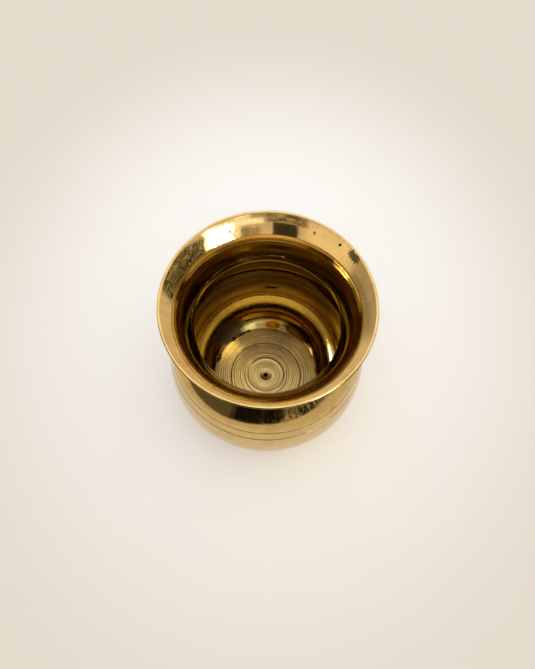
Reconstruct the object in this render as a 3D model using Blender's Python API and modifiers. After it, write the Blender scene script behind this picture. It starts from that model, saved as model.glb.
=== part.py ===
import math

import bpy

# A small lota, a brass water pot: four turned brass pieces that lap one another,
# held by three rings of solder. Metres, +Z up, the pot's axis is Z and it stands on z = 0.

# Overall size
HEIGHT = 0.096                      # underside of the foot to the top of the lip
RIM_RADIUS = 0.050                  # outside of the lip
CLEARANCE = 0.0003                  # gap left between neighbouring pieces

# Rim and neck, a trumpet-shaped funnel that ends at the throat
RIM_WALL = 0.0018                   # thickness of the rim and neck
FLARE_LEAN = math.radians(55)       # lean of the funnel at the lip
FLARE_SWEEP = 0.0086                # how far it keeps that lean
NECK_LEAN = math.radians(22)        # lean of the funnel at the throat
NECK_SWEEP = 0.0154                 # how far it keeps that lean
SKIRT_DEPTH = 0.023                 # bottom of the neck's outer skirt, below the lip
LAP_WALL = 0.0013                   # thickness of skirt and collar where they lap

# Shoulder and its collar
THROAT_RADIUS = 0.0354              # narrowest place, the collar's inner edge
THROAT_DEPTH = 0.022                # below the lip
COLLAR_RISE = 0.0023                # from the throat up to the collar's top

# Body, the outer curve that the shoulder and the bowl share
WALL = 0.0021                       # thickness of the shoulder and the bowl
BELLY_RADIUS = 0.05185              # widest place
BELLY_HEIGHT = 0.0323
WAIST_SWEEP = 0.0031                # how far the curve runs straight down below the neck
SLOPE_RADIUS = 0.0474               # a point on the shoulder's steady slope
SLOPE_HEIGHT = 0.056
SLOPE_LEAN = math.radians(28.5)     # lean of the shoulder there
SLOPE_RISE = 0.0083                 # how far it keeps that lean upward
SLOPE_FALL = 0.004                  # and downward
SHOULDER_SWEEP = 0.009              # how far the curve runs straight above the widest place
BOWL_SWEEP = 0.015                  # and below it
FOOT_RADIUS = 0.0325                # where the bowl meets the base
FOOT_LEAN = math.radians(61)        # lean of the bowl there
FOOT_SWEEP = 0.010

# Lap of the shoulder into the bowl, and the turned line below it
JOINT_HEIGHT = 0.0521               # top edge of the bowl, seen outside
JOINT_LAP = 0.0079                  # from there down to the seam inside
LINE_DROP = 0.0062                  # turned line, below the top edge of the bowl
LINE_WIDTH = 0.0009
LINE_DEPTH = 0.0003

# Base, a turned disc whose boss is the floor of the pot
FLANGE_THICKNESS = 0.0011
FLOOR_RADIUS = 0.0295
FLOOR_HEIGHT = 0.0025
BASE_CHAMFER = 0.0004
FLOOR_LINES = (0.0105, 0.0205)      # radii of two turned lines on the floor
FLOOR_LINE_WIDTH = 0.0009
FLOOR_LINE_DEPTH = 0.0003
DIMPLE_RADIUS = 0.0037              # centre mark of the turning
DIMPLE_DEPTH = 0.0009

# Solder
BEAD_RADIUS = 0.00035
BASE_BEAD_REACH = 0.0006            # gap from the boss to the bead at the floor's edge
BASE_BEAD_RISE = 0.00025            # height of that bead's centre above the floor

# Smoothness
TURN_STEPS = 64
BEAD_SIDES = 6
DIMPLE_POINTS = 3

# Colours of brass and solder
RIM_BRASS = (0.60, 0.40, 0.15, 1.0)
NECK_SOLDER = (0.35, 0.32, 0.27, 1.0)
BODY_BRASS = (0.57, 0.38, 0.15, 1.0)
FLOOR_BRASS = (0.36, 0.23, 0.08, 1.0)
DARK_SOLDER = (0.10, 0.08, 0.05, 1.0)

# Heights and radii that follow from the sizes above
skirt_bottom = HEIGHT - SKIRT_DEPTH
waist_top = skirt_bottom - CLEARANCE
throat_height = HEIGHT - THROAT_DEPTH
collar_top = throat_height + COLLAR_RISE
collar_radius = THROAT_RADIUS + LAP_WALL
skirt_radius = collar_radius + CLEARANCE
waist_radius = skirt_radius + LAP_WALL
bead_room = BEAD_RADIUS + CLEARANCE
seam_height = JOINT_HEIGHT - JOINT_LAP
bowl_bottom = FLANGE_THICKNESS + CLEARANCE


def toward(point, angle, distance):
    """A point some way off, at an angle from straight up."""
    return (point[0] + distance * math.sin(angle), point[1] + distance * math.cos(angle))


def bezier(start, start_pull, end_pull, end, count):
    """A smooth curve as count + 1 points."""
    curve = []
    for step in range(count + 1):
        t = step / count
        weights = ((1 - t) ** 3, 3 * t * (1 - t) ** 2, 3 * t * t * (1 - t), t ** 3)
        corners = (start, start_pull, end_pull, end)
        radius = sum(w * c[0] for w, c in zip(weights, corners))
        height = sum(w * c[1] for w, c in zip(weights, corners))
        curve.append((radius, height))
    return curve


def arc(centre, radius, first, last, count):
    """Points round a centre, from one angle to another, counted from straight out."""
    angles = [first + (last - first) * step / count for step in range(count + 1)]
    return [(centre[0] + radius * math.cos(a), centre[1] + radius * math.sin(a)) for a in angles]


def offset(curve, distance):
    """A falling curve moved out from the axis by a distance, or in if it is negative."""
    moved = []
    for index, point in enumerate(curve):
        before = curve[max(index - 1, 0)]
        after = curve[min(index + 1, len(curve) - 1)]
        run = (after[0] - before[0], after[1] - before[1])
        length = math.hypot(*run)
        moved.append((point[0] - run[1] / length * distance, point[1] + run[0] / length * distance))
    return moved


def at_height(curve, height):
    """The point of a falling curve at a height."""
    for upper, lower in zip(curve, curve[1:]):
        if lower[1] <= height:
            share = (upper[1] - height) / (upper[1] - lower[1])
            return (upper[0] + share * (lower[0] - upper[0]), height)
    return curve[-1]


def at_radius(curve, radius):
    """The point at a radius on a curve that closes in on the axis."""
    for outer, inner in zip(curve, curve[1:]):
        if inner[0] <= radius:
            share = (outer[0] - radius) / (outer[0] - inner[0])
            return (radius, outer[1] + share * (inner[1] - outer[1]))
    return curve[-1]


def trim(curve, top, bottom):
    """The stretch of a falling curve between two heights, with its ends."""
    spacing = CLEARANCE / 2
    inside = [p for p in curve if bottom + spacing < p[1] < top - spacing]
    return [at_height(curve, top)] + inside + [at_height(curve, bottom)]


def brass(name, colour, roughness):
    """A metal for one piece."""
    material = bpy.data.materials.new(name)
    material.use_nodes = True
    shader = material.node_tree.nodes["Principled BSDF"]
    shader.inputs["Base Color"].default_value = colour
    shader.inputs["Metallic"].default_value = 1.0
    shader.inputs["Roughness"].default_value = roughness
    return material


def turned(name, profile, closed, material):
    """A piece turned about Z from a profile that runs down its outer side."""
    edges = [(i, i + 1) for i in range(len(profile) - 1)]
    if closed:
        edges.append((len(profile) - 1, 0))
    mesh = bpy.data.meshes.new(name)
    mesh.from_pydata([(radius, 0, height) for radius, height in profile], edges, [])
    mesh.materials.append(material)
    piece = bpy.data.objects.new(name, mesh)
    screw = piece.modifiers.new("turning", "SCREW")
    screw.axis = "Z"
    screw.angle = math.tau
    screw.steps = TURN_STEPS
    screw.render_steps = TURN_STEPS
    screw.use_merge_vertices = True
    screw.merge_threshold = 0.00001
    screw.use_smooth_shade = True
    pot.objects.link(piece)
    return piece


def lip_middle():
    """The centre of the lip's round section."""
    return (RIM_RADIUS - RIM_WALL / 2, HEIGHT - RIM_WALL / 2)


def funnel_curve():
    """The inner face of the mouth, from the lip to the throat."""
    top = toward(lip_middle(), FLARE_LEAN - math.pi / 2, RIM_WALL / 2)
    throat = (THROAT_RADIUS, throat_height)
    below_top = toward(top, FLARE_LEAN, -FLARE_SWEEP)
    above_throat = toward(throat, NECK_LEAN, NECK_SWEEP)
    return bezier(top, below_top, above_throat, throat, 22)


def rim_and_neck(funnel):
    """Flared rim and neck, with a skirt that laps outside the shoulder's collar."""
    lip = arc(lip_middle(), RIM_WALL / 2, math.pi - FLARE_LEAN, -FLARE_LEAN, 6)
    inside = [point for point in funnel if point[0] > skirt_radius + CLEARANCE / 2]
    outside = offset(inside, RIM_WALL)
    foot_height = at_radius(funnel, skirt_radius)[1]
    skirt = [(waist_radius, skirt_bottom), (skirt_radius, skirt_bottom), (skirt_radius, foot_height)]
    profile = lip + outside[1:] + skirt + inside[:0:-1]
    return turned("rim_and_neck", profile, True, brass("polished rim brass", RIM_BRASS, 0.18))


def body_curve():
    """The outer curve of the pot, from below the neck, round the belly, to the foot."""
    waist = (waist_radius, waist_top)
    slope = (SLOPE_RADIUS, SLOPE_HEIGHT)
    belly = (BELLY_RADIUS, BELLY_HEIGHT)
    foot = (FOOT_RADIUS, bowl_bottom)
    below_waist = (waist[0], waist[1] - WAIST_SWEEP)
    above_slope = toward(slope, -SLOPE_LEAN, SLOPE_RISE)
    below_slope = toward(slope, -SLOPE_LEAN, -SLOPE_FALL)
    above_belly = (belly[0], belly[1] + SHOULDER_SWEEP)
    below_belly = (belly[0], belly[1] - BOWL_SWEEP)
    above_foot = toward(foot, FOOT_LEAN, FOOT_SWEEP)
    upper = bezier(waist, below_waist, above_slope, slope, 10)
    middle = bezier(slope, below_slope, above_belly, belly, 10)
    lower = bezier(belly, below_belly, above_foot, foot, 14)
    return upper + middle[1:] + lower[1:]


def shoulder(body, funnel):
    """Upper body: a collar inside the neck's skirt, and a tongue that laps inside the bowl."""
    tongue_end = seam_height + bead_room
    tongue_top = JOINT_HEIGHT + CLEARANCE
    collar = [
        (THROAT_RADIUS, throat_height),
        at_height(funnel, collar_top),
        (collar_radius, collar_top),
        (collar_radius, waist_top),
    ]
    outside = trim(body, waist_top, tongue_top)
    tongue = trim(offset(body, -(WALL + CLEARANCE) / 2), tongue_top, tongue_end)
    inside = trim(offset(body, -WALL), waist_top, tongue_end)
    profile = collar + outside + tongue + inside[::-1]
    return turned("shoulder", profile, True, brass("polished shoulder brass", BODY_BRASS, 0.2))


def bowl(body):
    """Lower body: its lip laps outside the shoulder's tongue, its foot stands on the base."""
    line_height = JOINT_HEIGHT - LINE_DROP
    line_bottom = at_height(offset(body, -LINE_DEPTH), line_height)
    above_line = trim(body, JOINT_HEIGHT, line_height + LINE_WIDTH / 2)
    below_line = trim(body, line_height - LINE_WIDTH / 2, bowl_bottom)
    inner = offset(body, -WALL)
    shelf = seam_height - bead_room
    inside = trim(inner, shelf, inner[-1][1])
    lip = trim(offset(body, -(WALL - CLEARANCE) / 2), JOINT_HEIGHT, shelf)
    notch_floor = FLOOR_HEIGHT + BASE_BEAD_RISE - bead_room
    bore = FLOOR_RADIUS + CLEARANCE
    foot = [(bore, bowl_bottom), (bore, notch_floor), (inner[-1][0], notch_floor)]
    profile = above_line + [line_bottom] + below_line + foot + inside[::-1] + lip[::-1]
    return turned("bowl", profile, True, brass("polished bowl brass", BODY_BRASS, 0.2))


def base():
    """Base disc: a flange under the bowl and a boss inside it, with turned lines and a centre dimple."""
    floor = []
    for step in range(DIMPLE_POINTS):
        share = step / DIMPLE_POINTS
        floor.append((DIMPLE_RADIUS * share, FLOOR_HEIGHT - DIMPLE_DEPTH * (1 - share * share)))
    floor.append((DIMPLE_RADIUS, FLOOR_HEIGHT))
    for radius in FLOOR_LINES:
        floor.append((radius - FLOOR_LINE_WIDTH / 2, FLOOR_HEIGHT))
        floor.append((radius, FLOOR_HEIGHT - FLOOR_LINE_DEPTH))
        floor.append((radius + FLOOR_LINE_WIDTH / 2, FLOOR_HEIGHT))
    rest = [
        (FLOOR_RADIUS, FLOOR_HEIGHT),
        (FLOOR_RADIUS, FLANGE_THICKNESS),
        (FOOT_RADIUS, FLANGE_THICKNESS),
        (FOOT_RADIUS, BASE_CHAMFER),
        (FOOT_RADIUS - BASE_CHAMFER, 0),
        (0, 0),
    ]
    return turned("base", floor + rest, False, brass("turned floor brass", FLOOR_BRASS, 0.35))


def solder(name, centre, material):
    """A ring of solder with a round section."""
    section = arc(centre, BEAD_RADIUS, math.pi / 2, math.pi / 2 - math.tau, BEAD_SIDES)
    return turned(name, section[:-1], True, material)


def solder_rings(body):
    """Solder at the neck, at the belly seam and round the floor."""
    neck_centre = (skirt_radius - bead_room, collar_top + bead_room)
    belly_centre = (at_height(offset(body, -WALL), seam_height)[0] + BEAD_RADIUS, seam_height)
    base_centre = (FLOOR_RADIUS + BASE_BEAD_REACH + BEAD_RADIUS, FLOOR_HEIGHT + BASE_BEAD_RISE)
    solder("neck_solder", neck_centre, brass("silvery solder", NECK_SOLDER, 0.35))
    solder("belly_solder", belly_centre, brass("black belly solder", DARK_SOLDER, 0.5))
    solder("base_solder", base_centre, brass("dark base solder", DARK_SOLDER, 0.5))


for leftover in list(bpy.data.objects):
    bpy.data.objects.remove(leftover, do_unlink=True)

pot = bpy.data.collections.new("lota")
bpy.context.scene.collection.children.link(pot)

funnel_line = funnel_curve()
body_line = body_curve()
rim_and_neck(funnel_line)
shoulder(body_line, funnel_line)
bowl(body_line)
base()
solder_rings(body_line)
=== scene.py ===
import math

import bpy
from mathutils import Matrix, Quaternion, Vector, noise


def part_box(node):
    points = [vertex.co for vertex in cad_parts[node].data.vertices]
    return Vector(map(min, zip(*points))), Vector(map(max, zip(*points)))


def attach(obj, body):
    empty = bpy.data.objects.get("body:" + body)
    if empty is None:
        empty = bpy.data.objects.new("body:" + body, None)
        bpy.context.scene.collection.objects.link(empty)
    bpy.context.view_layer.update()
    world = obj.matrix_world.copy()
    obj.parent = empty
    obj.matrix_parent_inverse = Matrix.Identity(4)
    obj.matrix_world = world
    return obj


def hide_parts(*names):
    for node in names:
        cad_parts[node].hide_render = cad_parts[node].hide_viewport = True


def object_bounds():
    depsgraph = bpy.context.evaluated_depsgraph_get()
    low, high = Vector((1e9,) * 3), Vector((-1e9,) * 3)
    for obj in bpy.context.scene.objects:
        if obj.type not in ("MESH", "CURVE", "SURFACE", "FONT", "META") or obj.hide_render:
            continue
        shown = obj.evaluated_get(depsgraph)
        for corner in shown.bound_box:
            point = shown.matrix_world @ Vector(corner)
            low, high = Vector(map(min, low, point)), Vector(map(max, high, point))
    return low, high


# A small brass lota, looked down into, on a pale table.
# Sizes in the dictionaries are millimetres and angles are degrees.

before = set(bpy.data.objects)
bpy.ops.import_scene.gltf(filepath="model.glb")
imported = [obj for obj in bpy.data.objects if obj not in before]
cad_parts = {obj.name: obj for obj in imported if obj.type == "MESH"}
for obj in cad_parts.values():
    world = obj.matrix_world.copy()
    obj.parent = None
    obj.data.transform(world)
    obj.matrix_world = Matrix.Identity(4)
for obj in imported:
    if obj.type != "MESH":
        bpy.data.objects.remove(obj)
cadLow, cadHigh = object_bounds()
mm = 0.001
print("frame loaded:", ", ".join(sorted(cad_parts)))


def linear(hexColour, strength=1.0):        # sRGB hex to linear light
    shares = [int(hexColour[i:i + 2], 16) / 255 for i in (1, 3, 5)]
    light = [s / 12.92 if s <= 0.04045 else ((s + 0.055) / 1.055) ** 2.4 for s in shares]
    return [strength * value for value in light] + [1.0]


def clamped(value):
    return min(1.0, max(0.0, value))


def addNode(tree, kind, inputs=None, **settings):
    node = tree.nodes.new(kind)
    for name, value in settings.items():
        setattr(node, name, value)
    for socket, value in (inputs or {}).items():
        if isinstance(value, bpy.types.NodeSocket):
            tree.links.new(value, node.inputs[socket])
        else:
            node.inputs[socket].default_value = value
    return node


# Curves in the (radius, height) half plane

cutMargin = 0.1                     # a curve's own points this close to a cut are left out
rounding = {
    "sharpFrom": 25,                # a turn of the profile that counts as a corner
    "mostOfSide": 0.3,              # share of a neighbouring side that a round may take
    "leadIn": 0.5,                  # straight before and after a round, as a share of its size
    "steps": 4,
}


def toward(point, lean, distance):          # lean is counted from upright
    angle = math.radians(lean)
    return (point[0] + distance * math.sin(angle), point[1] + distance * math.cos(angle))


def bezier(start, startPull, endPull, end, count):
    curve = []
    for step in range(count + 1):
        t = step / count
        weights = ((1 - t) ** 3, 3 * t * (1 - t) ** 2, 3 * t * t * (1 - t), t ** 3)
        corners = (start, startPull, endPull, end)
        curve.append(tuple(sum(w * c[k] for w, c in zip(weights, corners)) for k in (0, 1)))
    return curve


def offsetCurve(curve, distance):           # a falling curve moved away from the axis
    moved = []
    for index, point in enumerate(curve):
        before = curve[max(index - 1, 0)]
        after = curve[min(index + 1, len(curve) - 1)]
        run = Vector((after[0] - before[0], after[1] - before[1])).normalized()
        moved.append((point[0] - run.y * distance, point[1] + run.x * distance))
    return moved


def atHeight(curve, height):
    for upper, lower in zip(curve, curve[1:]):
        if lower[1] <= height:
            share = (upper[1] - height) / (upper[1] - lower[1])
            return (upper[0] + share * (lower[0] - upper[0]), height)
    return curve[-1]


def stretch(curve, top, bottom):            # the part of a falling curve between two heights
    inside = [p for p in curve if bottom + cutMargin < p[1] < top - cutMargin]
    return [atHeight(curve, top)] + inside + [atHeight(curve, bottom)]


def softened(profile, corner, closed=True):     # sharp corners become small rounds
    soft = []
    most = rounding["mostOfSide"]
    for index, point in enumerate(profile):
        here = Vector(point)
        into = here - Vector(profile[index - 1])
        out = Vector(profile[(index + 1) % len(profile)]) - here
        isEnd = not closed and index in (0, len(profile) - 1)
        if isEnd or into.angle(out) < math.radians(rounding["sharpFrom"]):
            soft.append(point)
            continue
        cut = min(corner, most * into.length, most * out.length)
        lead = cut * rounding["leadIn"]
        start = here - into.normalized() * cut
        end = here + out.normalized() * cut
        soft.append(tuple(start - into.normalized() * lead))
        for step in range(rounding["steps"] + 1):
            t = step / rounding["steps"]
            soft.append(tuple(start * (1 - t) ** 2 + here * 2 * t * (1 - t) + end * t * t))
        soft.append(tuple(end + out.normalized() * lead))
    return soft


def evened(profile, longest):               # no step along the profile is longer than this
    points = [profile[0]]
    for start, end in zip(profile, profile[1:]):
        count = max(1, math.ceil(math.dist(start, end) / longest))
        for step in range(1, count + 1):
            share = step / count
            points.append(tuple(a + share * (b - a) for a, b in zip(start, end)))
    return points


# Turning a profile into a piece. Profiles run upward inside the pot and downward outside it.

lathe = {
    "steps": 256,                   # faces round a piece
    "longest": 0.7,                 # along its profile
    "onAxis": 0.001,                # a ring smaller than this is one point
    "strays": [(0.025, 17.0), (0.006, 4.5)],    # how far the spun wall strays, and over what length
    "polishedTo": 85.0,             # inside, the polish fades out below this height
    "polishFades": 3.0,
}


def marksAt(radius, height, isInside, dirt, shadeBand):     # how grimy and unpolished the wall is, and where a band of painted shade darkens it
    near = [amount * (1 - math.dist((r, h), (radius, height)) / reach) for r, h, reach, amount in dirt]
    deep = (lathe["polishedTo"] - height) / lathe["polishFades"]
    shadeShare = min(height - shadeBand[0], shadeBand[1] - height) / shadeBand[2] if shadeBand else 0.0
    return {
        "grime": max([0.0] + near),
        "deep": clamped(deep) if isInside else 0.0,
        "shadeBand": clamped(shadeShare) if isInside else 0.0,
    }


def turnedPiece(name, profile, material, closed=True, dirt=(), shadeBand=None):
    steps = lathe["steps"]
    profile = evened(profile, lathe["longest"])
    last = len(profile) - 1
    vertices, places, rows = [], [], []
    marks = {"grime": [], "deep": [], "shadeBand": []}
    walked = 0.0
    for index, (radius, height) in enumerate(profile):
        before = Vector(profile[index - 1] if closed or index else profile[0])
        after = Vector(profile[(index + 1) % len(profile)] if closed or index < last else profile[last])
        run = (after - before).normalized()
        walked += math.dist(profile[max(index - 1, 0)], (radius, height))
        row = []
        for step in range(1 if radius < lathe["onAxis"] else steps):
            turn = math.tau * step / steps
            place = Vector((radius * math.cos(turn), radius * math.sin(turn), walked))
            dent = sum(far * (0.5 + 0.5 * noise.noise(place / span)) for far, span in lathe["strays"])
            r, h = radius + run.y * dent, height - run.x * dent
            row.append(len(vertices))
            vertices.append((r * math.cos(turn) * mm, r * math.sin(turn) * mm, h * mm))
            places.append(place)
        for mark, value in marksAt(radius, height, run.y > 0, dirt, shadeBand).items():
            marks[mark] += [value] * len(row)
        rows.append(row if len(row) > 1 else row * steps)
    pairs = list(zip(rows, rows[1:]))
    if closed:
        pairs.append((rows[-1], rows[0]))
    faces = []
    for upper, lower in pairs:
        for step in range(steps):
            after = (step + 1) % steps
            corners = [upper[step], lower[step], lower[after], upper[after]]
            faces.append(list(dict.fromkeys(corners)))      # a triangle at the axis
    return finishedPiece(name, vertices, faces, material, marks, places)


def finishedPiece(name, vertices, faces, material, marks, places=()):
    mesh = bpy.data.meshes.new(name)
    mesh.from_pydata(vertices, [], faces)
    mesh.polygons.foreach_set("use_smooth", [True] * len(mesh.polygons))
    if places:
        flat = [value for place in places for value in place]
        mesh.attributes.new("lathe", "FLOAT_VECTOR", "POINT").data.foreach_set("vector", flat)
    for mark, values in marks.items():
        mesh.attributes.new(mark, "FLOAT", "POINT").data.foreach_set("value", values)
    mesh.materials.append(material)
    mesh.update()
    piece = bpy.data.objects.new(name, mesh)
    bpy.context.scene.collection.objects.link(piece)
    return piece


def settle(piece, node):
    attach(piece, "root")
    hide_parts(node)
    print("made", piece.name, "for", node)


# Brass, spun or turned and then polished by hand: a warm mirror, with fine lines round the pot,
# a net of hair scratches, browner patches and black specks in old pits

polish = {
    "brass": "#D5B573",
    "tarnish": "#C4A05E",
    "inside": "#C4AD69",            # deep in the pot it is never polished
    "shadeBand": "#796527",             # painted shade: the darker band on the inside wall below the belly seam
    "soot": "#2A2013",
    "roughness": 0.04,
    "patinaRoughness": 0.05, "scratchRoughness": 0.03, "sootRoughness": 0.3,    # added to it
    "lineSpacing": 0.5,             # real lines are finer; this is as fine as the picture shows
    "lineLength": 28.0,
    "lineHeight": 0.0012,
    "lineCover": (0.42, 0.6),       # the noise at which a line begins and is full
    "lineStain": 0.0,               # how far the lines are browned
    "mottleSize": 0.9,
    "mottleHeight": 0.0007,
    "patinaSize": 9.0,
    "patinaCover": (0.42, 0.72),
    "scratchWidth": 0.25,           # real ones are hair thin; this is as fine as the picture shows
    "scratchLength": 6.0,
    "scratchDepth": 0.003,
    "scratchTurns": [(0, 35, 20), (40, 0, 75), (70, 20, 130)],
    "scratchCover": (0.64, 0.74),
    "scratchStain": 0.14,           # how far soot stays in a scratch
    "pitSpacing": 3.5,
    "pitSize": 0.05,                # share of the spacing
    "grimeCover": (0.1, 0.5),
    "stains": [],
    "stainFade": 0.3,               # share of a stain's size
}
noiseSpan = 0.25                    # noise keeps to about this much of its range; heights are divided by it


def hairScratches(tree, place, settings):
    scratches = 0.0
    wide, far = settings["scratchWidth"], settings["scratchLength"]
    low, high = settings["scratchCover"]
    for turn in settings["scratchTurns"]:
        sheet = addNode(tree, "ShaderNodeMapping", {
            "Vector": place, "Rotation": [math.radians(a) for a in turn], "Scale": (wide, far, far),
        }, vector_type="TEXTURE").outputs["Vector"]
        sheets = addNode(tree, "ShaderNodeTexNoise", {
            "Vector": sheet, "Scale": 1.0, "Detail": 1.0}).outputs["Fac"]
        hair = addNode(tree, "ShaderNodeMapRange", {
            "Value": sheets, "From Min": low, "From Max": high}).outputs["Result"]
        scratches = addNode(tree, "ShaderNodeMath", {0: hair, 1: scratches}, operation="ADD").outputs[0]
    return scratches


def stainPatch(tree, place, mottle, stain, fade):       # an ellipsoid whose edge the mottling tears
    torn = stain.get("torn", 0.5)
    inside = addNode(tree, "ShaderNodeMapping", {
        "Vector": place, "Location": stain["place"], "Scale": stain["size"],
        "Rotation": (0, 0, math.radians(stain.get("turn", 0))),
    }, vector_type="TEXTURE").outputs["Vector"]
    away = addNode(tree, "ShaderNodeVectorMath", {0: inside}, operation="LENGTH").outputs["Value"]
    ragged = addNode(tree, "ShaderNodeMath", {
        0: mottle, 1: torn, 2: away}, operation="MULTIPLY_ADD").outputs[0]
    edge = 1 + torn / 2
    return addNode(tree, "ShaderNodeMapRange", {
        "Value": ragged, "From Min": edge, "From Max": edge - fade,
        "To Max": stain.get("depth", 1.0)}).outputs["Result"]


def polishedBrass(name, settings):
    material = bpy.data.materials.new(name)
    material.use_nodes = True
    tree = material.node_tree
    shader = tree.nodes["Principled BSDF"]
    turned = addNode(tree, "ShaderNodeAttribute", attribute_name="lathe").outputs["Vector"]
    grime, deep, shadeBand = [
        addNode(tree, "ShaderNodeAttribute", attribute_name=mark).outputs["Fac"]
        for mark in ("grime", "deep", "shadeBand")]
    metres = addNode(tree, "ShaderNodeTexCoord").outputs["Object"]
    place = addNode(tree, "ShaderNodeVectorMath", {0: metres, "Scale": 1 / mm}, operation="SCALE").outputs[0]

    # Lines round the pot, mottling and clouds of patina
    long, thin = settings["lineLength"], settings["lineSpacing"]
    along = addNode(tree, "ShaderNodeMapping", {
        "Vector": turned, "Scale": (long, long, thin)}, vector_type="TEXTURE").outputs["Vector"]
    lines = addNode(tree, "ShaderNodeTexNoise", {"Vector": along, "Scale": 1.0, "Detail": 2.0}).outputs["Fac"]
    mottle = addNode(tree, "ShaderNodeTexNoise", {
        "Vector": place, "Scale": 1 / settings["mottleSize"], "Detail": 1.0}).outputs["Fac"]
    cloud = addNode(tree, "ShaderNodeTexNoise", {
        "Vector": place, "Scale": 1 / settings["patinaSize"],
        "Detail": 5.0, "Roughness": 0.62}).outputs["Fac"]
    low, high = settings["patinaCover"]
    patina = addNode(tree, "ShaderNodeMapRange", {
        "Value": cloud, "From Min": low, "From Max": high}).outputs["Result"]
    low, high = settings["lineCover"]
    browned = addNode(tree, "ShaderNodeMapRange", {
        "Value": lines, "From Min": low, "From Max": high,
        "To Max": settings["lineStain"]}).outputs["Result"]
    patina = addNode(tree, "ShaderNodeMath", {0: patina, 1: browned}, operation="MAXIMUM").outputs[0]
    scratches = hairScratches(tree, place, settings)

    # Soot in pits, seams, stains and scratches; stains with a colour lie on the brass instead, and among them
    # are a painted shade and a painted highlight
    cells = addNode(tree, "ShaderNodeTexVoronoi", {"Vector": place, "Scale": 1 / settings["pitSpacing"]})
    dark = addNode(tree, "ShaderNodeMapRange", {
        "Value": cells.outputs["Distance"],
        "From Min": settings["pitSize"], "From Max": settings["pitSize"] / 2}).outputs["Result"]
    ragged = addNode(tree, "ShaderNodeMath", {0: grime, 1: mottle}, operation="MULTIPLY").outputs[0]
    low, high = settings["grimeCover"]
    seam = addNode(tree, "ShaderNodeMapRange", {
        "Value": ragged, "From Min": low, "From Max": high}).outputs["Result"]
    dark = addNode(tree, "ShaderNodeMath", {0: seam, 1: dark}, operation="MAXIMUM").outputs[0]
    # the shade band is painted shade, a darker colour on the inside wall below the belly seam
    layers = [(patina, settings["tarnish"]), (deep, settings["inside"]), (shadeBand, settings["shadeBand"])]
    for stain in settings["stains"]:
        patch = stainPatch(tree, place, mottle, stain, settings["stainFade"])
        if "colour" in stain:
            layers.append((patch, stain["colour"]))
        else:
            dark = addNode(tree, "ShaderNodeMath", {0: patch, 1: dark}, operation="MAXIMUM").outputs[0]
    dark = addNode(tree, "ShaderNodeMath", {
        0: scratches, 1: settings["scratchStain"], 2: dark},
        operation="MULTIPLY_ADD", use_clamp=True).outputs[0]

    colour = linear(settings["brass"])
    for cover, tint in layers + [(dark, settings["soot"])]:
        colour = addNode(tree, "ShaderNodeMixRGB", {
            "Fac": cover, "Color1": colour, "Color2": linear(tint)}).outputs["Color"]
    rough = settings["roughness"]
    for mark, share in ((patina, settings["patinaRoughness"]), (scratches, settings["scratchRoughness"]),
                        (dark, settings["sootRoughness"])):
        rough = addNode(tree, "ShaderNodeMath", {
            0: mark, 1: share, 2: rough}, operation="MULTIPLY_ADD").outputs[0]
    height = 0.0
    for mark, rise in ((lines, settings["lineHeight"] / noiseSpan),
                       (mottle, settings["mottleHeight"] / noiseSpan),
                       (scratches, -settings["scratchDepth"])):
        height = addNode(tree, "ShaderNodeMath", {
            0: mark, 1: rise, 2: height}, operation="MULTIPLY_ADD").outputs[0]
    bump = addNode(tree, "ShaderNodeBump", {"Height": height, "Strength": 1.0, "Distance": mm})

    shader.inputs["Metallic"].default_value = 1.0
    tree.links.new(colour, shader.inputs["Base Color"])
    tree.links.new(rough, shader.inputs["Roughness"])
    tree.links.new(bump.outputs["Normal"], shader.inputs["Normal"])
    return material


# Old marks that stay where they are on the pot, and a patch of painted shade and one of painted highlight.
# Each has a place and half sizes, and may have a turn about the upright, a torn edge, a depth of soot or a
# colour of its own.

rimFinish = dict(polish, inside="#8C7C47", stains=[
    {"place": (39.4, 25.9, 94.8), "size": (4.6, 1.9, 4.0), "turn": 120, "torn": 1.3, "depth": 0.85},
    {"place": (33.1, 32.6, 94.2), "size": (0.9, 0.7, 1.5)},
    {"place": (21.1, 39.7, 92.9), "size": (0.7, 0.9, 1.5), "depth": 0.8},
    {"place": (-19.6, 39.3, 91.9), "size": (0.9, 0.8, 1.5), "depth": 0.9},
    {"place": (-25.6, 33.3, 89.3), "size": (0.7, 0.7, 1.2), "depth": 0.8},
    # painted shade: a darker patch on the inside of the neck, on its left
    {"place": (-38.0, 2.0, 80.0), "size": (8.0, 22.0, 6.0), "colour": "#5E5026"},   # left of the neck
])
shoulderFinish = dict(polish, stains=[
    {"place": (33.7, -35.6, 53.0), "size": (2.4, 1.0, 3.0), "turn": 45, "torn": 1.5, "depth": 0.5},
])
bowlFinish = dict(polish, stains=[
    {"place": (1.6, 48.0, 23.1), "size": (4.8, 3.0, 0.8), "torn": 0.2},
    {"place": (3.6, 32.0, 4.0), "size": (5.4, 2.7, 20.0), "torn": 0.15, "colour": "#AE6F0A"},
    {"place": (-23.2, 25.0, 5.0), "size": (12.5, 6.5, 9.0), "turn": 42.8, "depth": 0.8},
    {"place": (18.8, 26.6, 4.5), "size": (12.0, 4.6, 9.0), "turn": -35, "torn": 0.4, "colour": "#4A2C05"},
    # painted highlight: a near white patch on the inner wall where the window's reflection falls, so that it
    # shows cream
    {"place": (37.8, 12.0, 9.6), "size": (4.5, 7.0, 4.0), "torn": 0.2, "colour": "#F2EEE4"},
])

# The trumpet that the neck and the shoulder's collar share

mouth = {
    "lipWall": 1.8,
    "flareLean": 55, "flareSweep": 7.56,
    "throatRadius": 35.4, "throatHeight": 74.0,
    "neckLean": 18.5, "neckSweep": 15.2,
    "curveSteps": 64,
}
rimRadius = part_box("rim_and_neck")[1].x / mm
topHeight = cadHigh.z / mm
lipMiddle = (rimRadius - mouth["lipWall"] / 2, topHeight - mouth["lipWall"] / 2)


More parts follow.
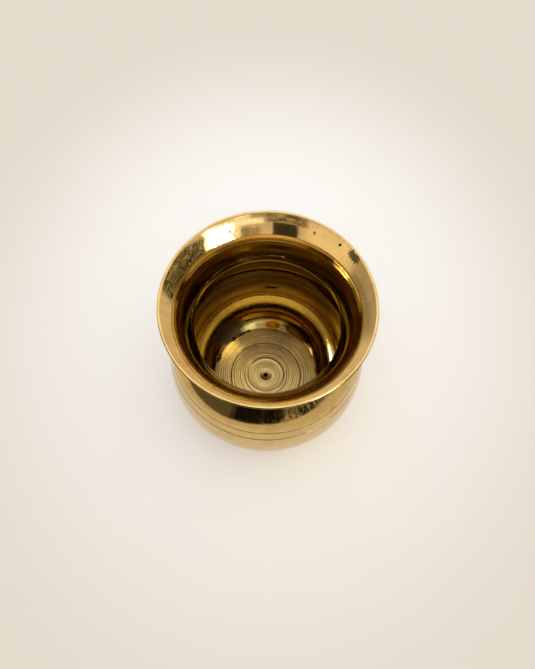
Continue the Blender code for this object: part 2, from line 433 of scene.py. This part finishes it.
def mouthCurve():
    top = toward(lipMiddle, mouth["flareLean"] - 90, mouth["lipWall"] / 2)
    throat = (mouth["throatRadius"], mouth["throatHeight"])
    belowTop = toward(top, mouth["flareLean"], -mouth["flareSweep"])
    aboveThroat = toward(throat, mouth["neckLean"], mouth["neckSweep"])
    return bezier(top, belowTop, aboveThroat, throat, mouth["curveSteps"])


# The outer and inner curves that the shoulder and the bowl share. Sweeps, rises and falls are how far
# a curve keeps its direction there. The inside was scraped by hand, so the wall isn't equally thick.

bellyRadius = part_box("bowl")[1].x / mm
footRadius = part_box("base")[1].x / mm
bellyWall = 2.2
body = {
    "waistRadius": 38.3, "waistHeight": 72.7, "waistSweep": 3.1,
    "slopeRadius": 47.4, "slopeHeight": 56.0, "slopeLean": 28.5, "slopeRise": 8.3, "slopeFall": 4.0,
    "bellyRadius": bellyRadius, "bellyHeight": 32.3, "shoulderSweep": 9.0, "bowlSweep": 15.0,
    "footRadius": footRadius, "footHeight": 1.4, "footLean": 61, "footSweep": 10.0,
}
hollow = {
    "waistRadius": 36.2, "waistHeight": 72.6, "waistSweep": 3.54,
    "slopeRadius": 45.31, "slopeHeight": 56.86, "slopeLean": 29.3, "slopeRise": 8.8, "slopeFall": 4.8,
    "bellyRadius": bellyRadius - bellyWall, "bellyHeight": 37.0, "shoulderSweep": 8.1, "bowlSweep": 18.6,
    "footRadius": 30.2, "footHeight": 2.6, "footLean": 64.6, "footSweep": 10.6,
}
curveSteps = 44                     # in each of a body curve's three stretches


def bodyCurve(sizes):
    waist = (sizes["waistRadius"], sizes["waistHeight"])
    slope = (sizes["slopeRadius"], sizes["slopeHeight"])
    belly = (sizes["bellyRadius"], sizes["bellyHeight"])
    foot = (sizes["footRadius"], sizes["footHeight"])
    belowWaist = (waist[0], waist[1] - sizes["waistSweep"])
    aboveSlope = toward(slope, -sizes["slopeLean"], sizes["slopeRise"])
    belowSlope = toward(slope, -sizes["slopeLean"], -sizes["slopeFall"])
    aboveBelly = (belly[0], belly[1] + sizes["shoulderSweep"])
    belowBelly = (belly[0], belly[1] - sizes["bowlSweep"])
    aboveFoot = toward(foot, sizes["footLean"], sizes["footSweep"])
    upper = bezier(waist, belowWaist, aboveSlope, slope, curveSteps)
    middle = bezier(slope, belowSlope, aboveBelly, belly, curveSteps)
    lower = bezier(belly, belowBelly, aboveFoot, foot, curveSteps)
    return upper + middle[1:] + lower[1:]


mouthLine = mouthCurve()
bodyLine = bodyCurve(body)
innerLine = bodyCurve(hollow)

# Flared rim and neck. Dirt has a reach and an amount, here and on the next pieces.

rimAndNeck = {
    "lipFlat": 1.0, "lipBevel": 0.35, "lipDrop": 0.6,    # a narrow bevel round the lip
    "footHeight": 76.45,            # where the neck ends inside, bevelled over the shoulder's collar
    "bevelTop": (36.78, 77.1),
    "outerEnd": 37.15,              # the wall keeps its thickness down to here
    "skirtRadius": 37.0, "skirtBottom": 73.0, "hiddenHeight": 75.0,
    "corner": 0.1,
    "footDirt": (0.5, 1.4),
}


def makeRimAndNeck(material):
    sizes = rimAndNeck
    lip = [
        (rimRadius - sizes["lipFlat"], topHeight),
        (rimRadius - sizes["lipBevel"], topHeight),
        (rimRadius, topHeight - sizes["lipDrop"]),
    ]
    inside = [p for p in mouthLine if p[1] > sizes["footHeight"] + cutMargin]
    outside = offsetCurve([p for p in mouthLine if p[0] > sizes["outerEnd"]], mouth["lipWall"])
    foot = atHeight(mouthLine, sizes["footHeight"])
    bevel = sizes["bevelTop"]
    hidden = [(sizes["skirtRadius"], sizes["hiddenHeight"]), (sizes["skirtRadius"], bevel[1]), bevel, foot]
    skirt = [(body["waistRadius"], sizes["skirtBottom"]), (sizes["skirtRadius"], sizes["skirtBottom"])]
    profile = softened(hidden + inside[::-1] + lip + outside + skirt, sizes["corner"])
    return turnedPiece("rimAndNeck", profile, material, dirt=[(*foot, *sizes["footDirt"])])


# Shoulder with its collar

shoulder = {
    "collarRadius": 36.7, "collarTop": 76.9, "bevelStart": 76.35, "hiddenHeight": 75.0,
    "jointTop": 52.25,              # where the outside meets the bowl's lip
    "tongueInset": 1.2, "tongueEnd": 40.25,
    "corner": 0.12,
    "jointDirt": (0.35, 0.7), "seamDirt": (0.6, 1.2), "collarDirt": (0.6, 1.6),
}


def makeShoulder(material):
    sizes = shoulder
    top = body["waistHeight"]
    outside = stretch(bodyLine, top, sizes["jointTop"])
    tongue = stretch(offsetCurve(bodyLine, -sizes["tongueInset"]), sizes["jointTop"], sizes["tongueEnd"])
    inside = stretch(innerLine, top, sizes["tongueEnd"])
    rising = [p for p in mouthLine[::-1] if p[1] < sizes["bevelStart"] - cutMargin]
    collar = [atHeight(mouthLine, sizes["bevelStart"]), (sizes["collarRadius"], sizes["collarTop"])]
    hidden = [(sizes["collarRadius"], sizes["hiddenHeight"]), (sizes["collarRadius"], top)]
    profile = softened(hidden + outside + tongue + inside[::-1] + rising + collar, sizes["corner"])
    dirt = [
        (*outside[-1], *sizes["jointDirt"]),
        (*inside[-1], *sizes["seamDirt"]),
        (*collar[0], *sizes["collarDirt"]),
    ]
    return turnedPiece("shoulder", profile, material, dirt=dirt)


# Bowl

bowl = {
    "lipTop": 52.05, "lipInset": 0.9,
    "hiddenHeight": 48.0, "hiddenStep": 0.2,    # where the profile starts, and ends a step lower
    "shelf": 39.75,                 # seam inside
    "shadeBand": (29.5, 41.5, 2.2),     # painted shade band: from, to and fading over
    "lineHeight": 45.9, "lineWidth": 0.4, "lineDepth": 0.25,
    "bore": 29.8, "toe": (30.1, 2.5), "toeBottom": 2.2,
    "corner": 0.1,
    "lineDirt": (0.55, 1.9), "jointDirt": (0.35, 1.0), "seamDirt": (0.6, 1.2),
}


def makeBowl(material):
    sizes = bowl
    half = sizes["lineWidth"] / 2
    lipWall = offsetCurve(bodyLine, -sizes["lipInset"])
    hidden = stretch(lipWall, sizes["lipTop"], sizes["hiddenHeight"])[::-1]
    closing = stretch(lipWall, sizes["hiddenHeight"] - sizes["hiddenStep"], sizes["shelf"])[::-1]
    line = atHeight(offsetCurve(bodyLine, -sizes["lineDepth"]), sizes["lineHeight"])
    aboveLine = stretch(bodyLine, sizes["lipTop"], sizes["lineHeight"] + half)
    belowLine = stretch(bodyLine, sizes["lineHeight"] - half, body["footHeight"])
    foot = [(sizes["bore"], body["footHeight"]), (sizes["bore"], sizes["toeBottom"]), sizes["toe"]]
    inside = stretch(innerLine, sizes["shelf"], innerLine[-1][1])[::-1]
    outside = aboveLine + [line] + belowLine
    profile = softened(hidden + outside + foot + inside + closing, sizes["corner"])
    dirt = [
        (*line, *sizes["lineDirt"]),
        (*aboveLine[0], *sizes["jointDirt"]),
        (*inside[-1], *sizes["seamDirt"]),
    ]
    return turnedPiece("bowl", profile, material, dirt=dirt, shadeBand=sizes["shadeBand"])


# Base: its upper face is the pot's floor, left as the lathe cut it

base = {
    "floorHeight": 2.5, "floorRadius": 29.6, "step": 0.14,
    "flangeHeight": 1.1, "chamfer": 0.4,
    "dimpleRadius": 3.7, "dimpleDepth": 0.9, "holeRadius": 1.5, "holeDepth": 1.1,
    "ridge": (10.1, 0.9, 0.16),     # raised ring: middle, half width, height
    "grooves": [(20.5, 0.35, 0.25), (8.3, 0.3, 0.08), (12.6, 0.3, 0.08)],
    "rings": [22.2, 23.6, 24.9, 26.3, 27.6],
    "ringHeight": 0.04, "ringHalfWidth": 0.5,
    "toolMark": 0.009, "toolMarkSpacing": 1.3,
    "toolDrift": 2.2, "toolDriftRate": 0.31, "toolDriftSeed": 4.0,      # so that the marks aren't even
    "corner": 0.12,
    "dirt": [(0.0, 0.5, 2.6, 2.0), (20.5, 2.3, 0.5, 0.9)],      # radius, height, reach and amount
}


def hump(distance, halfWidth):      # 1 in the middle, 0 from the half width on
    share = min(1.0, abs(distance) / halfWidth)
    return 0.5 + 0.5 * math.cos(math.pi * share)


def floorHeight(radius):
    sizes = base
    height = sizes["floorHeight"]
    height -= sizes["dimpleDepth"] * max(0.0, 1 - radius / sizes["dimpleRadius"])
    height -= sizes["holeDepth"] * hump(radius, sizes["holeRadius"])
    middle, half, rise = sizes["ridge"]
    height += rise * hump(radius - middle, half)
    for ring in sizes["rings"]:
        height += sizes["ringHeight"] * hump(radius - ring, sizes["ringHalfWidth"])
    for middle, half, depth in sizes["grooves"]:
        height -= depth * hump(radius - middle, half)
    where = Vector((radius * sizes["toolDriftRate"], sizes["toolDriftSeed"], 0.0))
    drift = sizes["toolDrift"] * noise.noise(where)
    height += sizes["toolMark"] * math.sin(math.tau * radius / sizes["toolMarkSpacing"] + drift)
    return height


def makeBase(material):
    sizes = base
    count = round(sizes["floorRadius"] / sizes["step"])
    radii = [sizes["floorRadius"] * step / count for step in range(count + 1)]
    floor = [(r, floorHeight(r)) for r in radii]
    rest = [
        (sizes["floorRadius"], sizes["flangeHeight"]),
        (footRadius, sizes["flangeHeight"]),
        (footRadius, sizes["chamfer"]),
        (footRadius - sizes["chamfer"], 0.0),
        (0.0, 0.0),
    ]
    profile = softened(floor + rest, sizes["corner"], closed=False)
    return turnedPiece("base", profile, material, closed=False, dirt=sizes["dirt"])


# Brass as the lathe left it: broad grey gold sheen with rings, not polished afterwards

turnedFinish = dict(
    polish, brass="#D0B274", tarnish="#7C6237", soot="#120C06", inside="#BFA266", roughness=0.28,
    lineSpacing=0.7, lineHeight=0.0065, lineStain=0.85, mottleSize=0.7, mottleHeight=0.002,
    patinaSize=7.0, scratchStain=0.0)

# Solder, melted in and gone dull: brown with silvery specks at the neck, a black line in the belly,
# and round the floor brass coloured but for its black lumps

solder = {
    "steps": 420, "sides": 10,
    "grain": 0.6, "grainHeight": 0.05,
    "swell": 0.4,                   # added to the noise that makes a lump
}
neckSolder = {
    "inset": 0.12, "height": 76.55,
    "thin": 0.06, "thick": 0.3,
    "lump": 1.1, "lumps": [(78, 114), (132, 160), (172, 190)],      # size, and where round the pot
    "plain": "#4A3A1A", "marked": "#E6E0D4", "roughness": 0.4,
    "cover": (0.55, 0.59),          # the noise at which marks begin and are full
}
bellySolder = {
    "inset": 0.05, "height": 40.0,
    "thin": 0.42, "thick": 0.5,
    "lump": 2.0, "lumps": [(0, 360)],
    "plain": "#0E0A05", "marked": "#060403", "roughness": 0.7,
    "cover": (0.64, 0.52),
}
baseSolder = {
    "middle": (30.0, 2.5),
    "thin": 0.27, "thick": 1.5,
    "lump": 3.0, "lumps": [(110, 138), (148, 167), (3, 11)],
    "plain": "#B39560", "marked": "#0A0704", "roughness": 0.3,
    "cover": (0.64, 0.52),
}


def solderMaterial(name, settings):
    material = bpy.data.materials.new(name)
    material.use_nodes = True
    tree = material.node_tree
    shader = tree.nodes["Principled BSDF"]
    metres = addNode(tree, "ShaderNodeTexCoord").outputs["Object"]
    lumpy = addNode(tree, "ShaderNodeAttribute", attribute_name="lumps").outputs["Fac"]
    grain = addNode(tree, "ShaderNodeTexNoise", {
        "Vector": metres, "Scale": 1 / (solder["grain"] * mm), "Detail": 3.0}).outputs["Fac"]
    low, high = settings["cover"]
    share = addNode(tree, "ShaderNodeMapRange", {
        "Value": grain, "From Min": low, "From Max": high}).outputs["Result"]
    share = addNode(tree, "ShaderNodeMath", {0: share, 1: lumpy}, operation="MULTIPLY").outputs[0]
    colour = addNode(tree, "ShaderNodeMixRGB", {
        "Fac": share, "Color1": linear(settings["plain"]),
        "Color2": linear(settings["marked"])}).outputs["Color"]
    bump = addNode(tree, "ShaderNodeBump", {
        "Height": grain, "Strength": 1.0, "Distance": solder["grainHeight"] * mm})
    shader.inputs["Metallic"].default_value = 1.0
    shader.inputs["Roughness"].default_value = settings["roughness"]
    tree.links.new(colour, shader.inputs["Base Color"])
    tree.links.new(bump.outputs["Normal"], shader.inputs["Normal"])
    return material


def seamMiddle(wall, settings):             # a ring sunk a little into the wall
    return (atHeight(wall, settings["height"])[0] + settings["inset"], settings["height"])


def solderRing(name, middle, settings, material):
    steps, sides = solder["steps"], solder["sides"]
    vertices, lumps = [], []
    for step in range(steps):
        turn = math.tau * step / steps
        outward = Vector((math.cos(turn), math.sin(turn), 0.0))
        lumpy = any(low <= math.degrees(turn) <= high for low, high in settings["lumps"])
        swell = noise.noise(outward * middle[0] / settings["lump"]) + solder["swell"]
        swell = clamped(swell) if lumpy else 0.0
        thickness = settings["thin"] + (settings["thick"] - settings["thin"]) * swell
        for side in range(sides):
            angle = math.tau * side / sides
            point = outward * (middle[0] + thickness * math.cos(angle))
            point.z = middle[1] - thickness * math.sin(angle)
            vertices.append(point * mm)
            lumps.append(1.0 if lumpy else 0.0)
    faces = []
    for step in range(steps):
        for side in range(sides):
            here, after = step * sides, (step + 1) % steps * sides
            nextSide = (side + 1) % sides
            faces.append((here + side, here + nextSide, after + nextSide, after + side))
    return finishedPiece(name, vertices, faces, material, {"lumps": lumps})


rimBrass = polishedBrass("hand polished brass, rim", rimFinish)
shoulderBrass = polishedBrass("hand polished brass, shoulder", shoulderFinish)
bowlBrass = polishedBrass("hand polished brass, bowl", bowlFinish)
floorBrass = polishedBrass("lathe turned brass, floor", turnedFinish)
settle(makeRimAndNeck(rimBrass), "rim_and_neck")
settle(makeShoulder(shoulderBrass), "shoulder")
settle(makeBowl(bowlBrass), "bowl")
settle(makeBase(floorBrass), "base")

neckTin = solderMaterial("silvery tin solder, browned", neckSolder)
bellyBraze = solderMaterial("blackened brazing, belly", bellySolder)
baseBraze = solderMaterial("blackened brazing, base", baseSolder)
neckRing = solderRing("neckSolder", seamMiddle(mouthLine, neckSolder), neckSolder, neckTin)
bellyRing = solderRing("bellySolder", seamMiddle(innerLine, bellySolder), bellySolder, bellyBraze)
baseRing = solderRing("baseSolder", baseSolder["middle"], baseSolder, baseBraze)
settle(neckRing, "neck_solder")
settle(bellyRing, "belly_solder")
settle(baseRing, "base_solder")

# What the brass mirrors: stretches of a room, each from one azimuth to another, with soft edges.
# Azimuth 0 is straight in front of the pot, 90 is to its right.

leafCover = (0.51, 0.57)            # the noise at which a lit leaf begins and is full


def mirroredRoom(tree, azimuth, elevation, colour, stretches):
    for part in stretches:
        mask = 1.0
        for angle, span in ((azimuth, part["azimuth"]), (elevation, part.get("elevation"))):
            if span is None:
                continue
            for edge, ends in ((span[0], (0.0, 1.0)), (span[1], (1.0, 0.0))):
                side = addNode(tree, "ShaderNodeMapRange", {
                    "Value": angle, "From Min": edge - part["soft"], "From Max": edge + part["soft"],
                    "To Min": ends[0], "To Max": ends[1]}, interpolation_type="SMOOTHSTEP").outputs["Result"]
                mask = addNode(tree, "ShaderNodeMath", {0: side, 1: mask}, operation="MULTIPLY").outputs[0]
        shade = linear(part["colour"], part.get("strength", 1.0))
        if "leaves" in part:
            grid = addNode(tree, "ShaderNodeCombineXYZ", {"X": azimuth, "Y": elevation}).outputs["Vector"]
            grid = addNode(tree, "ShaderNodeMapping", {
                "Vector": grid, "Scale": (*part["leafSize"], 1.0)}, vector_type="TEXTURE").outputs["Vector"]
            patches = addNode(tree, "ShaderNodeTexNoise", {
                "Vector": grid, "Scale": 1.0, "Detail": 3.0, "Distortion": 1.5}).outputs["Fac"]
            lit = addNode(tree, "ShaderNodeMapRange", {
                "Value": patches, "From Min": leafCover[0], "From Max": leafCover[1]}).outputs["Result"]
            shade = addNode(tree, "ShaderNodeMixRGB", {
                "Fac": lit, "Color1": shade, "Color2": linear(part["leaves"])}).outputs["Color"]
        colour = addNode(tree, "ShaderNodeMixRGB", {
            "Fac": mask, "Color1": colour, "Color2": shade}).outputs["Color"]
    return colour


def degreesOf(tree, operation, values):
    angle = addNode(tree, "ShaderNodeMath", values, operation=operation).outputs[0]
    return addNode(tree, "ShaderNodeMath", {0: angle}, operation="DEGREES").outputs[0]


def azimuthOf(tree, split):
    front = addNode(tree, "ShaderNodeMath", {0: split.outputs["Y"], 1: -1.0}, operation="MULTIPLY").outputs[0]
    return degreesOf(tree, "ARCTAN2", {0: split.outputs["X"], 1: front})


# Table: matt pale paper with a painted pool of light, brightest round the pot and darker further out. In the
# brass it is seen as a sheet that ends, with dark stretches beyond it, where the distance from the pot stands
# in for the elevation.

table = {
    "size": 6000.0,
    # painted pool of light: the paper's colour is lighter near the pot and darker far from it
    "near": "#F6F3EF", "far": "#DCD3C6",
    "paintedLightPoolMiddle": (0.0, 50.0), "paintedLightPool": (218.0, 255.0), "paintedLightPoolStart": 0.25,
    "sheetMiddle": (35.0, 60.0), "sheet": (242.0, 350.0), "sheetEdge": (0.98, 1.02),
    "beyond": "#181816",
    "stretches": [
        {"azimuth": (-100, -26), "soft": 1.5, "colour": "#6A6150"},
        {"azimuth": (-29, -26), "soft": 0.8, "colour": "#4A3A22"},
        {"azimuth": (-2.0, -0.5), "soft": 0.6, "colour": "#3F3322"},
        {"azimuth": (9.0, 10.5), "soft": 0.6, "colour": "#3F3322"},
        {"azimuth": (14, 110), "soft": 3, "colour": "#15140F", "leaves": "#C2B8A2", "leafSize": (2.2, 110.0)},
    ],
}


def ellipseShare(tree, place, middle, reach):       # 1 on the ellipse's edge
    inside = addNode(tree, "ShaderNodeMapping", {
        "Vector": place, "Location": (middle[0] * mm, middle[1] * mm, 0),
        "Scale": (reach[0] * mm, reach[1] * mm, 1),
    }, vector_type="TEXTURE").outputs["Vector"]
    return addNode(tree, "ShaderNodeVectorMath", {0: inside}, operation="LENGTH").outputs["Value"]


def paperMaterial():
    material = bpy.data.materials.new("matt paper with painted pool of light")
    material.use_nodes = True
    tree = material.node_tree
    shader = tree.nodes["Principled BSDF"]
    place = addNode(tree, "ShaderNodeTexCoord").outputs["Object"]
    # painted pool of light: lighter colour round the pot, darker further away
    paintedLightPool = addNode(tree, "ShaderNodeMapRange", {
        "Value": ellipseShare(tree, place, table["paintedLightPoolMiddle"], table["paintedLightPool"]),
        "From Min": table["paintedLightPoolStart"]}, interpolation_type="SMOOTHSTEP").outputs["Result"]
    colour = addNode(tree, "ShaderNodeMixRGB", {
        "Fac": paintedLightPool, "Color1": linear(table["near"]), "Color2": linear(table["far"])}).outputs["Color"]
    low, high = table["sheetEdge"]
    edge = addNode(tree, "ShaderNodeMapRange", {
        "Value": ellipseShare(tree, place, table["sheetMiddle"], table["sheet"]),
        "From Min": low, "From Max": high}).outputs["Result"]
    azimuth = azimuthOf(tree, addNode(tree, "ShaderNodeSeparateXYZ", {0: place}))
    away = addNode(tree, "ShaderNodeVectorMath", {0: place, "Scale": 1 / mm}, operation="SCALE").outputs[0]
    away = addNode(tree, "ShaderNodeVectorMath", {0: away}, operation="LENGTH").outputs["Value"]
    darkRoom = mirroredRoom(tree, azimuth, away, linear(table["beyond"]), table["stretches"])
    mirrored = addNode(tree, "ShaderNodeLightPath").outputs["Is Glossy Ray"]
    hidden = addNode(tree, "ShaderNodeMath", {0: edge, 1: mirrored}, operation="MULTIPLY").outputs[0]
    beyond = addNode(tree, "ShaderNodeEmission", {"Color": darkRoom})
    choice = addNode(tree, "ShaderNodeMixShader", {
        0: hidden, 1: shader.outputs["BSDF"], 2: beyond.outputs["Emission"]})
    shader.inputs["Roughness"].default_value = 1.0
    shader.inputs["Specular IOR Level"].default_value = 0.0
    tree.links.new(colour, shader.inputs["Base Color"])
    tree.links.new(choice.outputs["Shader"], tree.nodes["Material Output"].inputs["Surface"])
    return material


def makeTable():
    bpy.ops.mesh.primitive_plane_add(size=table["size"] * mm)
    plane = bpy.context.object
    plane.name = "table"
    plane.data.materials.append(paperMaterial())
    print("table laid")


# Soft light, strongest from above. The brass mirrors a pale room with a window to the right.

surroundings = {
    "light": "#FFFFFF", "lightLow": 0.6, "lightHigh": 1.345,
    "backdrop": "#E6DCCE", "room": "#F9EFEC",
    "stretches": [
        # overhead and behind
        {"azimuth": (-200, 200), "elevation": (66, 100), "soft": 6, "colour": "#FFFFFF", "strength": 1.2},
        {"azimuth": (-70, 70), "elevation": (58, 100), "soft": 8, "colour": "#C4BCB4"},
        {"azimuth": (115, 200), "elevation": (44, 100), "soft": 9, "colour": "#FFFFFF", "strength": 1.5},
        {"azimuth": (-200, -115), "elevation": (44, 100), "soft": 9, "colour": "#FFFFFF", "strength": 1.5},
        {"azimuth": (-200, 200), "elevation": (80, 100), "soft": 4, "colour": "#E8F0FF", "strength": 2.0},
        # left
        {"azimuth": (-137, -84), "elevation": (-90, 42), "soft": 6, "colour": "#D1C8C5"},
        {"azimuth": (-132, -86), "elevation": (-90, 19), "soft": 6, "colour": "#ADA6A3"},
        {"azimuth": (-84, -32), "elevation": (0, 50), "soft": 7, "colour": "#FFF6EA", "strength": 1.25},
        # in front
        {"azimuth": (8, 66), "elevation": (36, 49), "soft": 4, "colour": "#E3EEFF", "strength": 2.3},
        {"azimuth": (22, 37), "elevation": (47, 60), "soft": 6, "colour": "#E6ECFF", "strength": 2.0},
        {"azimuth": (4, 20), "elevation": (50, 62), "soft": 3, "colour": "#CCC4B8"},
        {"azimuth": (-36, 5), "elevation": (40, 62), "soft": 4, "colour": "#776C61",
         "leaves": "#DACCC2", "leafSize": (9.0, 4.0)},
        {"azimuth": (-26, -2), "elevation": (-90, 39), "soft": 1.2, "colour": "#48423E"},
        {"azimuth": (10.5, 19.5), "elevation": (-90, 25), "soft": 1, "colour": "#D3BCAA"},
        {"azimuth": (20, 28.5), "elevation": (-90, 29), "soft": 1, "colour": "#B4B0A8"},
        {"azimuth": (28.5, 38), "elevation": (-90, 40), "soft": 1.5, "colour": "#FFFFFF", "strength": 1.5},
        # the window
        {"azimuth": (37, 57), "elevation": (-4, 45), "soft": 1.2, "colour": "#CCDEFF", "strength": 25.0},
        {"azimuth": (55, 65), "elevation": (8, 46), "soft": 1.5, "colour": "#FFFFFF", "strength": 8.0},
        # right
        {"azimuth": (63, 116), "elevation": (-90, 42), "soft": 3, "colour": "#443F36",
         "leaves": "#D8CDBE", "leafSize": (2.6, 3.6)},
        {"azimuth": (73, 107), "elevation": (-90, 28), "soft": 5, "colour": "#2A2620",
         "leaves": "#B5AC9C", "leafSize": (2.2, 3.0)},
    ],
}


def makeSurroundings():
    world = bpy.data.worlds.new("soft room light")
    bpy.context.scene.world = world
    world.use_nodes = True
    world.cycles.sampling_method = "NONE"       # the room is seen in mirrors and isn't a lamp
    tree = world.node_tree
    tree.nodes.clear()
    direction = addNode(tree, "ShaderNodeTexCoord").outputs["Generated"]
    split = addNode(tree, "ShaderNodeSeparateXYZ", {0: direction})
    azimuth = azimuthOf(tree, split)
    elevation = degreesOf(tree, "ARCSINE", {0: split.outputs["Z"]})
    room = mirroredRoom(tree, azimuth, elevation, linear(surroundings["room"]), surroundings["stretches"])
    rise = addNode(tree, "ShaderNodeMapRange", {
        "Value": split.outputs["Z"], "To Min": surroundings["lightLow"], "To Max": surroundings["lightHigh"]})
    light = addNode(tree, "ShaderNodeMixRGB", {
        "Fac": 1.0, "Color1": linear(surroundings["light"]), "Color2": rise.outputs["Result"]},
        blend_type="MULTIPLY").outputs["Color"]
    rays = addNode(tree, "ShaderNodeLightPath")
    seen = addNode(tree, "ShaderNodeMixRGB", {
        "Fac": rays.outputs["Is Camera Ray"], "Color1": light,
        "Color2": linear(surroundings["backdrop"])}).outputs["Color"]
    seen = addNode(tree, "ShaderNodeMixRGB", {
        "Fac": rays.outputs["Is Glossy Ray"], "Color1": seen, "Color2": room}).outputs["Color"]
    glow = addNode(tree, "ShaderNodeBackground", {"Color": seen, "Strength": 1.0})
    addNode(tree, "ShaderNodeOutputWorld", {"Surface": glow.outputs["Background"]})
    print("room light set with", len(surroundings["stretches"]), "stretches")


# Camera, held steeply above the front of the pot

camera = {
    "place": (0.19, -123.0, 333.9),
    "aim": (0.19, 0.0, 60.3),
    "lens": 32.06,                  # on the usual 36 mm sensor, along the picture's long side
    "roll": 2.0,
    "nearest": 10.0,
}


def makeCamera():
    data = bpy.data.cameras.new("camera")
    data.lens = camera["lens"]
    data.clip_start = camera["nearest"] * mm
    view = bpy.data.objects.new("camera", data)
    view.location = Vector(camera["place"]) * mm
    aim = (Vector(camera["aim"]) - Vector(camera["place"])).to_track_quat("-Z", "Y")
    view.rotation_mode = "QUATERNION"
    view.rotation_quaternion = aim @ Quaternion((0, 0, 1), math.radians(camera["roll"]))
    bpy.context.scene.collection.objects.link(view)
    bpy.context.scene.camera = view
    print("camera set")


makeTable()
makeSurroundings()
makeCamera()
mirrorings = 16                     # the inside is seen through many
scene = bpy.context.scene
scene.view_settings.view_transform = "Standard"
scene.cycles.max_bounces = mirrorings
scene.cycles.glossy_bounces = mirrorings
